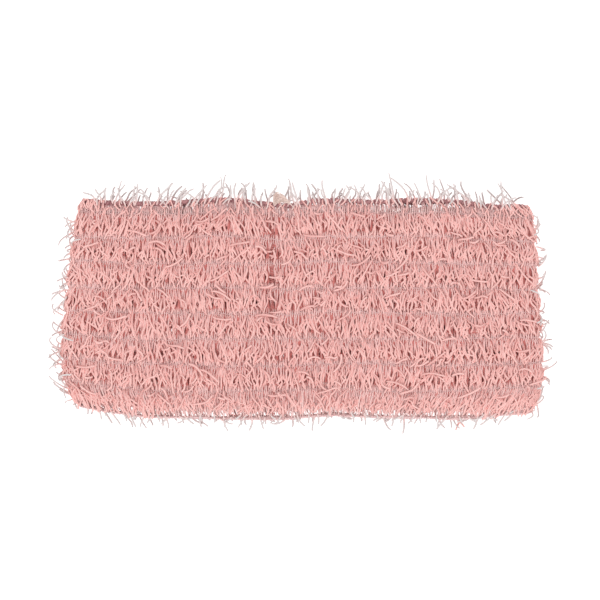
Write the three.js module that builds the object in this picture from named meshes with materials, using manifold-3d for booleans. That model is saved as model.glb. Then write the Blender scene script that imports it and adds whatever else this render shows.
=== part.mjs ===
// Knitted pile spa headband, lying flat as it is stored.
//
// The band is one knitted loop pressed flat: an upper and a lower layer that meet in a round fold at each side.
// Round the loop run, from the top edge down, a hem, an openwork ladder course, and rows of soft pile that each
// end in a fine chain line. The last chain line is the bottom hem. Hems and chain lines hold a covered elastic
// in a channel on their inner face. One seam joins the ends of the knitting, and its thread leaves a tail.
//
// Millimetres. X runs across the flattened loop, Y up the band to its top edge, and Z up from the surface
// that the band lies on. The origin is under the middle of the band.

import * as THREE from 'three';
import { mergeVertices } from 'three/addons/utils/BufferGeometryUtils.js';
import Module from 'manifold-3d';

const wasm = await Module();
wasm.setup();

// Driving dimensions

const LAY_FLAT_WIDTH = 222; // fold to fold, at the widest place
const HEAD_GAP = 6; // between the two layers, where the head goes in
const PILE_ROWS = 8;

const PILE_ROW_HEIGHT = 8.6;
const PILE_THICKNESS = 4.5; // ground knit and pile together, of one layer
const CHAIN_HEIGHT = 2.3;
const CHAIN_THICKNESS = 2.2;
const TOP_HEM_HEIGHT = 2.4;
const BOTTOM_HEM_HEIGHT = 2.2;
const HEM_THICKNESS = 2.4;
const LADDER_HEIGHT = 2.6;
const LADDER_THICKNESS = 1.2;

const ELASTIC_SIZE = 0.8; // height and thickness of a covered elastic
const SEAM_X = -13.5; // in the upper layer, left of the middle
const SEAM_WIDTH = 1.6;
const SEAM_THICKNESS = 2.4;
const TAIL_LENGTH = 9.5;
const TAIL_WIDTH = 4.4;
const TAIL_THICKNESS = 1;

// The sides bow out to a widest line below the middle, and draw in from there towards each edge.
const WIDEST_BELOW_TOP = 68;
const SIDE_BOW = {
  left: { top: { inset: 10.5, power: 1.3 }, bottom: { inset: 12, power: 2.5 } },
  right: { top: { inset: 10.5, power: 2.5 }, bottom: { inset: 8.5, power: 2.3 } },
};

// Clearances

const COURSE_GAP = 0.3; // between courses that lie side by side
const ELASTIC_CLEARANCE = 0.3; // round an elastic in its channel, and back from the channel's mouth
const SEAM_CLEARANCE = 0.3; // each side of the seam
const TAIL_CLEARANCE = 0.3; // under the tail, and in from the top edge

const FOLD_SEGMENTS = 6; // round the half turn at each side

// Finishes

function yarn(color, roughness) {
  return new THREE.MeshStandardMaterial({ color, roughness, metalness: 0 });
}

const PILE_YARN = yarn(0xe39a97, 0.85);
const CHAIN_YARN = yarn(0xb98d90, 0.9);
const HEM_YARN = yarn(0x8f5f66, 0.9);
const ELASTIC = yarn(0xd9c9c4, 0.7);
const SEAM_THREAD = yarn(0xcdb0a0, 0.8);

const COURSE_KINDS = {
  topHem: { height: TOP_HEM_HEIGHT, thickness: HEM_THICKNESS, material: HEM_YARN },
  ladder: { height: LADDER_HEIGHT, thickness: LADDER_THICKNESS, material: CHAIN_YARN },
  chain: { height: CHAIN_HEIGHT, thickness: CHAIN_THICKNESS, material: CHAIN_YARN },
  pile: { height: PILE_ROW_HEIGHT, thickness: PILE_THICKNESS, material: PILE_YARN },
  bottomHem: { height: BOTTOM_HEM_HEIGHT, thickness: HEM_THICKNESS, material: HEM_YARN },
};

// The courses in order, each with its distance below the top edge.
function layOutCourses() {
  const order = [
    { name: 'top_hem', kind: COURSE_KINDS.topHem, elastic: 'top_hem_elastic' },
    { name: 'ladder_course', kind: COURSE_KINDS.ladder },
  ];
  for (let row = 1; row <= PILE_ROWS; row += 1) {
    order.push({ name: `chain_line_${row}`, kind: COURSE_KINDS.chain, elastic: `chain_elastic_${row}` });
    order.push({ name: `pile_row_${row}`, kind: COURSE_KINDS.pile });
  }
  order.push({ name: 'bottom_hem', kind: COURSE_KINDS.bottomHem, elastic: 'bottom_hem_elastic' });

  let below = 0;
  return order.map((course) => {
    const placed = { ...course, below };
    below += course.kind.height + COURSE_GAP;
    return placed;
  });
}

const COURSES = layOutCourses();
const LAST_COURSE = COURSES.at(-1);
const BAND_HEIGHT = LAST_COURSE.below + LAST_COURSE.kind.height;
const MIDDLE_Z = HEAD_GAP / 2 + PILE_THICKNESS;

// Every piece below is drawn in the band's own frame: X across the loop, Y up through its layers from midway
// between them, and Z down the band from its top edge.

function sideInset(side, below) {
  const reach = WIDEST_BELOW_TOP - below;
  if (reach >= 0) {
    return side.top.inset * (reach / WIDEST_BELOW_TOP) ** side.top.power;
  }
  return side.bottom.inset * (-reach / (BAND_HEIGHT - WIDEST_BELOW_TOP)) ** side.bottom.power;
}

// The two ends of the head opening at a distance below the top edge.
function openingEnds(below) {
  const half = LAY_FLAT_WIDTH / 2 - PILE_THICKNESS;
  return {
    left: -half + sideInset(SIDE_BOW.left, below),
    right: half - sideInset(SIDE_BOW.right, below),
  };
}

// Draws a flattened loop that lies a given distance outside the head opening.
function traceLoop(path, ends, outside) {
  const radius = HEAD_GAP / 2 + outside;
  const leftCentre = ends.left + HEAD_GAP / 2;
  const rightCentre = ends.right - HEAD_GAP / 2;
  path.moveTo(leftCentre, -radius);
  path.lineTo(rightCentre, -radius);
  path.absarc(rightCentre, 0, radius, -Math.PI / 2, Math.PI / 2, false);
  path.lineTo(leftCentre, radius);
  path.absarc(leftCentre, 0, radius, Math.PI / 2, (3 * Math.PI) / 2, false);
  return path;
}

// A loop wall from one distance outside the head opening to another, from `below` the top edge down.
function loopWall(ends, inner, outer, below, height) {
  const section = traceLoop(new THREE.Shape(), ends, outer);
  section.holes.push(traceLoop(new THREE.Path(), ends, inner));
  const geometry = new THREE.ExtrudeGeometry(section, {
    depth: height,
    bevelEnabled: false,
    curveSegments: FOLD_SEGMENTS,
  });
  return geometry.translate(0, 0, below);
}

function toSolid(geometry) {
  const bare = geometry.clone();
  bare.deleteAttribute('normal');
  bare.deleteAttribute('uv');
  const merged = mergeVertices(bare, 1e-4);
  const solid = new wasm.Mesh({
    numProp: 3,
    vertProperties: new Float32Array(merged.attributes.position.array),
    triVerts: new Uint32Array(merged.index.array),
  });
  return new wasm.Manifold(solid);
}

function toGeometry(solid) {
  const mesh = solid.getMesh();
  const geometry = new THREE.BufferGeometry();
  geometry.setAttribute('position', new THREE.BufferAttribute(mesh.vertProperties, 3));
  geometry.setIndex(new THREE.BufferAttribute(mesh.triVerts, 1));
  geometry.computeVertexNormals();
  return geometry;
}

// The gap in the upper layer that the joining seam passes through, cut from a little above the middle.
function seamSlot(below, height) {
  const width = SEAM_WIDTH + 2 * SEAM_CLEARANCE;
  const rise = HEAD_GAP / 2 + 2 * PILE_THICKNESS;
  const overrun = 1;
  const slot = new THREE.BoxGeometry(width, rise, height + 2 * overrun);
  return toSolid(slot.translate(SEAM_X, rise / 2, below + height / 2));
}

function elasticPlace(course) {
  return {
    below: course.below + (course.kind.height - ELASTIC_SIZE) / 2,
    inner: ELASTIC_CLEARANCE,
    outer: ELASTIC_CLEARANCE + ELASTIC_SIZE,
  };
}

// The channel is open to the head opening, so that the elastic can be drawn through it.
function elasticChannel(course, ends) {
  const place = elasticPlace(course);
  const mouth = -HEAD_GAP / 4;
  const floor = place.outer + ELASTIC_CLEARANCE;
  const height = ELASTIC_SIZE + 2 * ELASTIC_CLEARANCE;
  return toSolid(loopWall(ends, mouth, floor, place.below - ELASTIC_CLEARANCE, height));
}

function courseEnds(course) {
  return openingEnds(course.below + course.kind.height / 2);
}

function courseMesh(course) {
  const { height, thickness, material } = course.kind;
  const ends = courseEnds(course);
  let solid = toSolid(loopWall(ends, 0, thickness, course.below, height));
  if (course.elastic) {
    solid = solid.subtract(elasticChannel(course, ends));
  }
  solid = solid.subtract(seamSlot(course.below, height));
  return named(course.name, toGeometry(solid), material);
}

function elasticMesh(course) {
  const place = elasticPlace(course);
  const core = toSolid(loopWall(courseEnds(course), place.inner, place.outer, place.below, ELASTIC_SIZE));
  return named(course.elastic, toGeometry(core.subtract(seamSlot(place.below, ELASTIC_SIZE))), ELASTIC);
}

function joiningSeam() {
  const strip = new THREE.BoxGeometry(SEAM_WIDTH, SEAM_THICKNESS, BAND_HEIGHT);
  const mesh = named('joining_seam', strip, SEAM_THREAD);
  mesh.position.set(SEAM_X, HEAD_GAP / 2 + SEAM_THICKNESS / 2, BAND_HEIGHT / 2);
  return mesh;
}

// The loose thread end, a flat loop that lies on the top hem beside the seam.
function seamTail() {
  const radius = TAIL_WIDTH / 2;
  const loop = new THREE.Shape();
  loop.moveTo(radius, -radius);
  loop.lineTo(TAIL_LENGTH - radius, -radius);
  loop.absarc(TAIL_LENGTH - radius, 0, radius, -Math.PI / 2, Math.PI / 2, false);
  loop.lineTo(radius, radius);
  loop.absarc(radius, 0, radius, Math.PI / 2, (3 * Math.PI) / 2, false);
  const plate = new THREE.ExtrudeGeometry(loop, {
    depth: TAIL_THICKNESS,
    bevelEnabled: false,
    curveSegments: FOLD_SEGMENTS,
  });
  const mesh = named('seam_tail', plate, SEAM_THREAD);
  mesh.rotation.x = -Math.PI / 2;
  mesh.position.set(
    SEAM_X - SEAM_WIDTH / 2,
    HEAD_GAP / 2 + Math.max(HEM_THICKNESS, SEAM_THICKNESS, LADDER_THICKNESS) + TAIL_CLEARANCE,
    TAIL_CLEARANCE + radius,
  );
  return mesh;
}

function named(name, geometry, material) {
  const mesh = new THREE.Mesh(geometry, material);
  mesh.name = name;
  return mesh;
}

// The band, turned from its own frame to lie on its lower layer.
function layBandFlat() {
  const band = new THREE.Group();
  for (const course of COURSES) {
    band.add(courseMesh(course));
    if (course.elastic) {
      band.add(elasticMesh(course));
    }
  }
  band.add(joiningSeam());
  band.add(seamTail());
  band.rotation.x = Math.PI / 2;
  band.position.set(0, BAND_HEIGHT / 2, MIDDLE_Z);
  return band;
}

const headband = new THREE.Group();
headband.add(layBandFlat());

export default headband;
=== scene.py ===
"""Looks of a knitted pile spa headband that lies flat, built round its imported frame.

The band is one knitted loop pressed flat. A ground knit carries everything: rows of soft pile yarn between
fine chain lines, a ladder course under the top hem, whipped hems with covered elastics inside, and the seam
that closes the loop. Every yarn is real geometry, placed on the loop by Geometry Nodes.
"""

import logging
import math
from dataclasses import Field, dataclass, field, fields, replace
from enum import Enum, IntEnum
from functools import cache, cached_property
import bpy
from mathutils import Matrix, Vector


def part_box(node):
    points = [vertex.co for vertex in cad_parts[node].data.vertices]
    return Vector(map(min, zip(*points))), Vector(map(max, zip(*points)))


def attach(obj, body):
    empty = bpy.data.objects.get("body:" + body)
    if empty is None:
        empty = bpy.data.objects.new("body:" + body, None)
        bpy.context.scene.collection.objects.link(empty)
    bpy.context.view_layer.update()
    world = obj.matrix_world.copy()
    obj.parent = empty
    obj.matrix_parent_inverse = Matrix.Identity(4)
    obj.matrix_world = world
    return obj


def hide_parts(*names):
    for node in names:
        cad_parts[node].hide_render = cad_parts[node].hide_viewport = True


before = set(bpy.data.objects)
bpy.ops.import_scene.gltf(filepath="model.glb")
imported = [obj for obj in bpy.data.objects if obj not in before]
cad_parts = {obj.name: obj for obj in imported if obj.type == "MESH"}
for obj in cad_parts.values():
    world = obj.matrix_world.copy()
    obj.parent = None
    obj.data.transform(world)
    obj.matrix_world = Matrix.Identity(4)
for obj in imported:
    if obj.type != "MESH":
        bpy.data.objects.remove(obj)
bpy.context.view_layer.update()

from types import SimpleNamespace

import bpy
import numpy as np
from mathutils import Vector

LOG = logging.getLogger("spa_headband")
BODY = "root"
YARN_MAP = "OFBake"
TONES = 16
UP_THE_BAND = (0.0, 1.0, 0.0)
WHITE = (1.0, 1.0, 1.0, 1.0)
MM = 0.001
GUIDE_GAP = 1 * MM
FULL_TURN = 2 * math.pi

Triple = tuple[float, float, float]
Colour = Triple
Pair = tuple[float, float]


class Seed(IntEnum):
    """Where the random draws of each kind of piece start, and how far apart the sets of a piece are."""

    LAID_THREADS = 50
    SET = 100
    ROW = 1000
    LINE = 20000
    LADDER = 30000
    TOP_FRINGE = 40000
    BOTTOM_FRINGE = 41000
    SEAM = 50000
    TAIL = 60000


# Nodes written as expressions


class Wire:
    """A node's output that adds Math nodes to its graph as it is used in an expression."""

    def __init__(self, graph: "Graph", socket: bpy.types.NodeSocket) -> None:
        """Keeps the graph and the socket that the wire starts from."""
        self.graph = graph
        self.socket = socket

    def __add__(self, other: "Wire | float") -> "Wire":
        """Adds a value."""
        return self.graph.maths("ADD", self, other)

    def __radd__(self, other: float) -> "Wire":
        """Adds this to a number."""
        return self.graph.maths("ADD", other, self)

    def __sub__(self, other: "Wire | float") -> "Wire":
        """Takes a value away."""
        return self.graph.maths("SUBTRACT", self, other)

    def __rsub__(self, other: float) -> "Wire":
        """Takes this away from a number."""
        return self.graph.maths("SUBTRACT", other, self)

    def __mul__(self, other: "Wire | float") -> "Wire":
        """Multiplies by a value."""
        return self.graph.maths("MULTIPLY", self, other)

    def __rmul__(self, other: float) -> "Wire":
        """Multiplies a number by this."""
        return self.graph.maths("MULTIPLY", other, self)

    def __truediv__(self, other: "Wire | float") -> "Wire":
        """Divides by a value."""
        return self.graph.maths("DIVIDE", self, other)

    def __pow__(self, other: "Wire | float") -> "Wire":
        """Raises this to a power."""
        return self.graph.maths("POWER", self, other)

    def __lt__(self, other: "Wire | float") -> "Wire":
        """Gives 1 where this is the smaller, and 0 elsewhere."""
        return self.graph.maths("LESS_THAN", self, other)

    def __gt__(self, other: "Wire | float") -> "Wire":
        """Gives 1 where this is the larger, and 0 elsewhere."""
        return self.graph.maths("GREATER_THAN", self, other)

    def sine(self) -> "Wire":
        """The sine of this angle."""
        return self.graph.maths("SINE", self)

    def cosine(self) -> "Wire":
        """The cosine of this angle."""
        return self.graph.maths("COSINE", self)

    def floor(self) -> "Wire":
        """The whole number at or below this."""
        return self.graph.maths("FLOOR", self)

    def fraction(self) -> "Wire":
        """What is left above the whole number at or below this."""
        return self.graph.maths("FRACT", self)

    def size(self) -> "Wire":
        """This without its sign."""
        return self.graph.maths("ABSOLUTE", self)


class VectorWire(Wire):
    """A vector output that adds Vector Math nodes as it is used in an expression."""

    def __add__(self, other: "VectorWire | tuple") -> "VectorWire":
        """Adds a vector."""
        return self.graph.vectors("ADD", self, other)

    def __sub__(self, other: "VectorWire | tuple") -> "VectorWire":
        """Takes a vector away."""
        return self.graph.vectors("SUBTRACT", self, other)

    def __mul__(self, factor: "Wire | float") -> "VectorWire":
        """Scales the vector."""
        return self.graph.vectors("SCALE", self, factor)

    def cross(self, other: "VectorWire | tuple") -> "VectorWire":
        """The vector square to this one and another."""
        return self.graph.vectors("CROSS_PRODUCT", self, other)

    def unit(self) -> "VectorWire":
        """This vector with a length of 1."""
        return self.graph.vectors("NORMALIZE", self)

    def parts(self) -> list[Wire]:
        """The vector's x, y and z."""
        split = self.graph.node("ShaderNodeSeparateXYZ", sockets={0: self})
        return [self.graph.out(split, i) for i in range(3)]


class Graph:
    """A node tree that is built in code, with one method for any node and expressions for its maths."""

    def __init__(self, tree: bpy.types.NodeTree) -> None:
        """Keeps the tree that nodes are added to."""
        self.tree = tree

    def node(self, kind: str, settings: dict | None = None, sockets: dict | None = None) -> bpy.types.Node:
        """Adds a node, sets it up and fills its inputs.

        Args:
            kind: The node's type name.
            settings: The node's own properties, which are set first.
            sockets: Values or wires by input name, or by input number where names repeat.

        Returns:
            The new node.
        """
        made = self.tree.nodes.new(kind)
        for name, value in (settings or {}).items():
            setattr(made, name, value)
        for key, value in (sockets or {}).items():
            self._fill(self._input(made, key), value)
        return made

    @staticmethod
    def _input(node: bpy.types.Node, key: str | int) -> bpy.types.NodeSocket:
        """Finds a node's input by number, or by name among the inputs in use.

        Args:
            node: The node.
            key: The input's number or name.

        Returns:
            The input.
        """
        if isinstance(key, int):
            return node.inputs[key]
        return next(s for s in node.inputs if s.name == key and s.enabled)

    def _fill(self, socket: bpy.types.NodeSocket, value: object) -> None:
        """Links a wire to an input, or stores a plain value in it.

        Args:
            socket: The input.
            value: The wire or the value.
        """
        if isinstance(value, Wire):
            self.tree.links.new(value.socket, socket)
        else:
            socket.default_value = value

    def out(self, node: bpy.types.Node, key: str | int = 0) -> Wire:
        """A node's output as a wire.

        Args:
            node: The node to read.
            key: The output's number, or its name among the outputs in use.

        Returns:
            A vector wire for a vector output, and a plain one for any other.
        """
        if isinstance(key, int):
            socket = node.outputs[key]
        else:
            socket = next(s for s in node.outputs if s.name == key and s.enabled)
        return (VectorWire if socket.type == "VECTOR" else Wire)(self, socket)

    def maths(self, operation: str, *values: Wire | float) -> Wire:
        """Adds a Math node for one operation on one or two values."""
        return self.out(self.node("ShaderNodeMath", {"operation": operation}, dict(enumerate(values))))

    def vectors(self, operation: str, first: VectorWire, second: Wire | tuple | float | None = None) -> VectorWire:
        """Adds a Vector Math node.

        Args:
            operation: The node's operation.
            first: The vector that is worked on.
            second: The other vector, or the factor of a scaling.

        Returns:
            The result.
        """
        sockets: dict[str | int, object] = {0: first}
        if second is not None:
            sockets["Scale" if operation == "SCALE" else 1] = second
        return self.out(self.node("ShaderNodeVectorMath", {"operation": operation}, sockets))


# The band's shape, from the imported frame


class Side(Enum):
    """The two round folds of the flattened loop."""

    LEFT = "left"
    RIGHT = "right"


@dataclass
class BandShape:
    """The flattened loop that every yarn lies on, read from the CAD nodes' boxes.

    The fullness rows hold a height with how far the folds bulge past the frame there, left and right. The sag
    rows hold a place across with how far the top edge and the bottom edge stray there. Both are in millimetres.
    Wander waves hold a size, a rate across and a rate of turn. Drape waves hold a size, a rate across, a rate up
    the band and an angle to start at.
    """

    head_gap: float = 6.0 * MM
    seam_x: float = -13.5 * MM
    rows: int = 8
    flat_points: int = 90
    fold_points: int = 14
    line_wander: float = 0.5 * MM
    drape: float = 0.8 * MM
    sink: float = 2.2 * MM
    sink_power: int = 4
    fullness: tuple[Triple, ...] = (
        (-50.0, 5.0, 5.6), (-41.0, 4.2, 4.4), (-35.0, 3.6, 4.0), (-29.0, 2.4, 3.2), (-22.0, 1.2, 1.2), (-8.0, 2.0, 0.6),
        (0.0, 1.4, 0.6), (12.0, 2.2, 0.8), (22.0, 2.4, 2.4), (31.0, 3.0, 3.4), (41.0, 3.2, 5.6), (49.0, 2.8, 6.0),
    )
    sag: tuple[Triple, ...] = (
        (-114.0, -3.4, 5.4), (-109.0, -0.9, 4.6), (-104.0, 0.2, 4.2), (-96.0, 0.2, 2.4), (-87.0, -0.8, 0.8),
        (-74.0, -0.8, -1.2), (-56.0, -0.4, -1.9), (-37.5, 0.6, -2.6), (-19.0, -0.8, -2.3), (-5.0, -2.0, -2.1),
        (5.0, 0.2, -1.2), (14.5, 0.6, -0.4), (31.5, 0.3, -1.5), (50.0, 0.3, -2.2), (68.0, 0.0, -2.3),
        (82.0, -1.8, -1.8), (91.0, -2.6, -0.3), (101.0, -2.6, 0.4), (107.0, -4.0, 1.2), (113.0, -7.0, 2.6),
    )
    sag_power: float = 2.5
    wander_turn: float = 310.0
    layer_turn: float = 0.9
    wander_waves: tuple[Triple, ...] = ((1.0, 62.0, 1.0), (0.6, 137.0, -2.3), (0.35, 241.0, 1.7))
    wander_peak: float = 1.6
    drape_waves: tuple[tuple[float, ...], ...] = ((1.0, 48.0, 70.0, 0.0), (0.7, 95.0, -120.0, 1.3))
    drape_peak: float = 1.7
    heights: list[float] = field(default_factory=list)
    left_ends: list[float] = field(default_factory=list)
    right_ends: list[float] = field(default_factory=list)
    middle_z: float = 0.0

    def __post_init__(self) -> None:
        """Reads where each course lies and how far its head opening reaches."""
        low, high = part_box("pile_row_1")
        self.middle_z = float(low[2] + high[2]) / 2
        for name in reversed(self.courses()):
            low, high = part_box(name)
            wall = (high[2] - low[2] - self.head_gap) / 2
            self.heights.append(float(low[1] + high[1]) / 2)
            self.left_ends.append(float(low[0] + wall))
            self.right_ends.append(float(high[0] - wall))

    def courses(self) -> list[str]:
        """Lists the courses of the band.

        Returns:
            The CAD nodes' names, from the top edge down.
        """
        rows = [f"{kind}_{row}" for row in range(1, self.rows + 1) for kind in ("chain_line", "pile_row")]
        return ["top_hem", "ladder_course", *rows, "bottom_hem"]

    def height_of(self, course: str) -> float:
        """Finds the height up the band of a course's middle.

        Args:
            course: The course's CAD node.

        Returns:
            The height.
        """
        low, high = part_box(course)
        return float(low[1] + high[1]) / 2

    def ends(self, height: float) -> Pair:
        """Finds the centres of the two folds.

        Args:
            height: A height up the band.

        Returns:
            The left and the right centre.
        """
        up, left_more, right_more = np.array(self.fullness).T * MM
        left = np.interp(height, self.heights, self.left_ends) - np.interp(height, up, left_more)
        right = np.interp(height, self.heights, self.right_ends) + np.interp(height, up, right_more)
        return float(left) + self.head_gap / 2, float(right) - self.head_gap / 2

    def wander(self, x: np.ndarray, z: np.ndarray, height: float) -> np.ndarray:
        """Finds how far a line strays from its straight course.

        Args:
            x: The points' places across the loop.
            z: Their heights above the surface.
            height: The line's height up the band.

        Returns:
            The change in each point's height up the band.
        """
        phase = height * self.wander_turn + self.layer_turn * np.sign(z - self.middle_z)
        slow = sum(size * np.sin(x * rate + turn * phase) for size, rate, turn in self.wander_waves)
        reach = min(max((height - self.heights[0]) / (self.heights[-1] - self.heights[0]), 0.0), 1.0)
        across, top, bottom = np.array(self.sag).T * MM
        top, bottom = (np.interp(x, across, edge) for edge in (top, bottom))
        edges = top * reach**self.sag_power + bottom * (1 - reach) ** self.sag_power
        return self.line_wander * slow / self.wander_peak + edges

    def hang(self, x: np.ndarray, height: float) -> np.ndarray:
        """Finds how far the upper layer rises or sinks where it lies loosely over the lower one.

        Args:
            x: The points' places across the loop.
            height: Their height up the band.

        Returns:
            The change in each point's height above the surface.
        """
        waves = sum(size * np.sin(x * rate + height * up + first) for size, rate, up, first in self.drape_waves)
        sunk = self.sink * np.clip(1 - (x / self.left_ends[0]) ** self.sink_power, 0, 1)
        return self.drape * (waves / self.drape_peak) - sunk

    def loop(self, height: float, outside: float, gap: float = 0.0) -> np.ndarray:
        """Lays out one line round the loop, from the seam over the upper layer to the right and back underneath.

        Args:
            height: How far up the band the line lies.
            outside: How far outside the head opening it lies.
            gap: What it leaves open at the seam, if it doesn't close on itself.

        Returns:
            The line's points.
        """
        left, right = self.ends(height)
        radius = self.head_gap / 2 + outside
        turn = np.linspace(math.pi / 2, -math.pi / 2, self.fold_points)
        start, stop = self.seam_x + gap / 2, self.seam_x - gap / 2
        share = (right - start) / (right - left)
        first = np.linspace(start, right, round(self.flat_points * share), endpoint=False)
        under = np.linspace(right, left, self.flat_points + 1)[1:-1]
        last = np.linspace(left, stop, round(self.flat_points * (1 - share)) + 1)[1:]
        last = last if gap else last[:-1]
        bulge, side = radius * np.cos(turn), radius * np.sin(turn)
        x = np.concatenate([first, right + bulge, under, left - bulge[::-1], last])
        flat = [np.full(len(part), radius) for part in (first, under, last)]
        z = np.concatenate([flat[0], side, -flat[1], side[::-1], flat[2]])
        z = z + self.hang(x, height) * np.clip(z / radius, 0, 1) + self.middle_z
        return np.stack([x, height + self.wander(x, z, height), z], axis=1)

    def loop_length(self, height: float, outside: float) -> float:
        """Finds how long a line round the loop is.

        Args:
            height: How far up the band the line lies.
            outside: How far outside the head opening it lies.

        Returns:
            The length.
        """
        left, right = self.ends(height)
        return 2 * (right - left) + FULL_TURN * (self.head_gap / 2 + outside)

    def share_at(self, x: float, height: float, outside: float) -> float:
        """Finds the share of the way round a line, counted from the seam, at a place on the upper layer."""
        return (x - self.seam_x) / self.loop_length(height, outside)

    def fold_stretch(self, height: float, outside: float, side: Side) -> Pair:
        """Finds where a fold starts and ends along a line.

        Args:
            height: How far up the band the line lies.
            outside: How far outside the head opening it lies.
            side: Which fold it is.

        Returns:
            The shares of the way round, counted from the seam.
        """
        left, right = self.ends(height)
        length = self.loop_length(height, outside)
        half_turn = math.pi * (self.head_gap / 2 + outside)
        start = right - self.seam_x
        if side is Side.LEFT:
            start += right - left + half_turn
        return start / length, (start + half_turn) / length

    def upper_stretch(self, height: float, outside: float) -> Pair:
        """Finds where the upper layer starts and ends along a line, as shares counted from the seam."""
        left_end = self.fold_stretch(height, outside, Side.LEFT)[1]
        return left_end - 1, self.fold_stretch(height, outside, Side.RIGHT)[0]

    def lower_stretch(self, height: float, outside: float) -> Pair:
        """Finds where the lower layer starts and ends along a line, as shares counted from the seam."""
        return self.fold_stretch(height, outside, Side.RIGHT)[1], self.fold_stretch(height, outside, Side.LEFT)[0]


def in_scene(name: str, data: bpy.types.ID) -> bpy.types.Object:
    """Makes an object from its data and links it to the scene.

    Args:
        name: The object's name.
        data: Its mesh, light or camera.

    Returns:
        The object, at the origin.
    """
    made = bpy.data.objects.new(name, data)
    bpy.context.scene.collection.objects.link(made)
    return made


def line_holder(name: str, lines: list[np.ndarray], closed: bool = True) -> bpy.types.Object:
    """Makes an object that holds lines for a tree to follow.

    Args:
        name: The object's name.
        lines: The lines' points.
        closed: Whether each line closes on itself.

    Returns:
        The object, linked to the scene.
    """
    points, edges = [], []
    for line in lines:
        base, count = len(points), len(line)
        points.extend(map(tuple, line))
        edges.extend((base + i, base + i + 1) for i in range(count - 1))
        if closed:
            edges.append((base + count - 1, base))
    mesh = bpy.data.meshes.new(name)
    mesh.from_pydata(points, edges, [])
    return in_scene(name, mesh)


# Sets of yarns and their trees


def mm(*lengths: float) -> Field:
    """Makes a field of a yarn set that holds a length in millimetres, or the least and the most of one."""
    return field(default=lengths if len(lengths) > 1 else lengths[0], metadata={"unit": MM})


@dataclass
class YarnSet:
    """Yarns that are laid alike. A field is one input of the tree that lays them, or two for a least and a most.

    The length and the gap of the guide lines are in metres, as they come from the band.
    """

    count: int = 1
    radius: Pair = mm(0.36, 0.5)
    steps: int = 7
    sides: int = 6
    seed: int = 0
    length: float = 0.43
    gap: float = 11.5 * MM


@dataclass
class RunningYarns(YarnSet):
    """Yarns that run down from one line of the band to the next, bowed, clumped and lifted off the ground."""

    stretch: Pair = (0.0, 1.0)
    start: Pair = (0.0, 0.0)
    end: Pair = (1.0, 1.0)
    slant: float = mm(0.8)
    bow: float = mm(0.25)
    wave: float = mm(0.1)
    root_lift: float = mm(0.0)
    peak: Pair = mm(0.2, 0.5)
    free_share: float = 0.0
    clump: float = mm(0.0)
    clump_pitch: float = mm(5.0)
    stagger: float = 0.0
    stagger_pitch: float = mm(7.0)
    patch_level: float = 1.0
    patch_pitch: float = mm(4.0)
    seam_clear: float = mm(0.0)
    seam_share: float = 0.0


@dataclass
class LooseEnds(YarnSet):
    """Cut yarn ends that lie over the pile or stand out past an edge, each with a root on the band."""

    steps: int = 8
    stretch: Pair = (0.0, 1.0)
    root: Pair = (0.0, 1.0)
    heading: float = -math.pi / 2
    heading_spread: float = math.pi
    reach: Pair = mm(5.0, 12.0)
    root_lift: Pair = mm(1.0, 2.0)
    end_lift: Pair = mm(2.0, 3.0)
    curl: float = 1.3
    wave: float = mm(0.8)


@dataclass
class StitchLoops(YarnSet):
    """Closed thread loops set side by side along a line: chain stitches, whipping or a seam."""

    steps: int = 8
    sides: int = 4
    height: float = mm(3.0)
    depth: float = mm(1.9)
    lean: float = mm(0.5)
    unevenness: float = 0.2
    across: Triple = UP_THE_BAND


@dataclass
class LaidThreads(YarnSet):
    """Long threads laid side by side along the whole of a line, or between two lines."""

    sides: int = 5
    share: Pair = (0.0, 0.0)
    lift: float = mm(0.0)
    stray: float = mm(0.0)
    stray_pitch: float = mm(2.0)


def tree_values(part: Field, value: object) -> dict[str, object]:
    """Turns a field of a yarn set into inputs of its tree.

    Args:
        part: The field.
        value: What it holds.

    Returns:
        The inputs' values in metres by name, two where the field holds a least and a most.
    """
    values = dict(zip(("_least", "_most"), value)) if isinstance(value, tuple) and len(value) == 2 else {"": value}
    unit = part.metadata.get("unit")
    return {part.name + ending: one * unit if unit else one for ending, one in values.items()}


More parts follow.
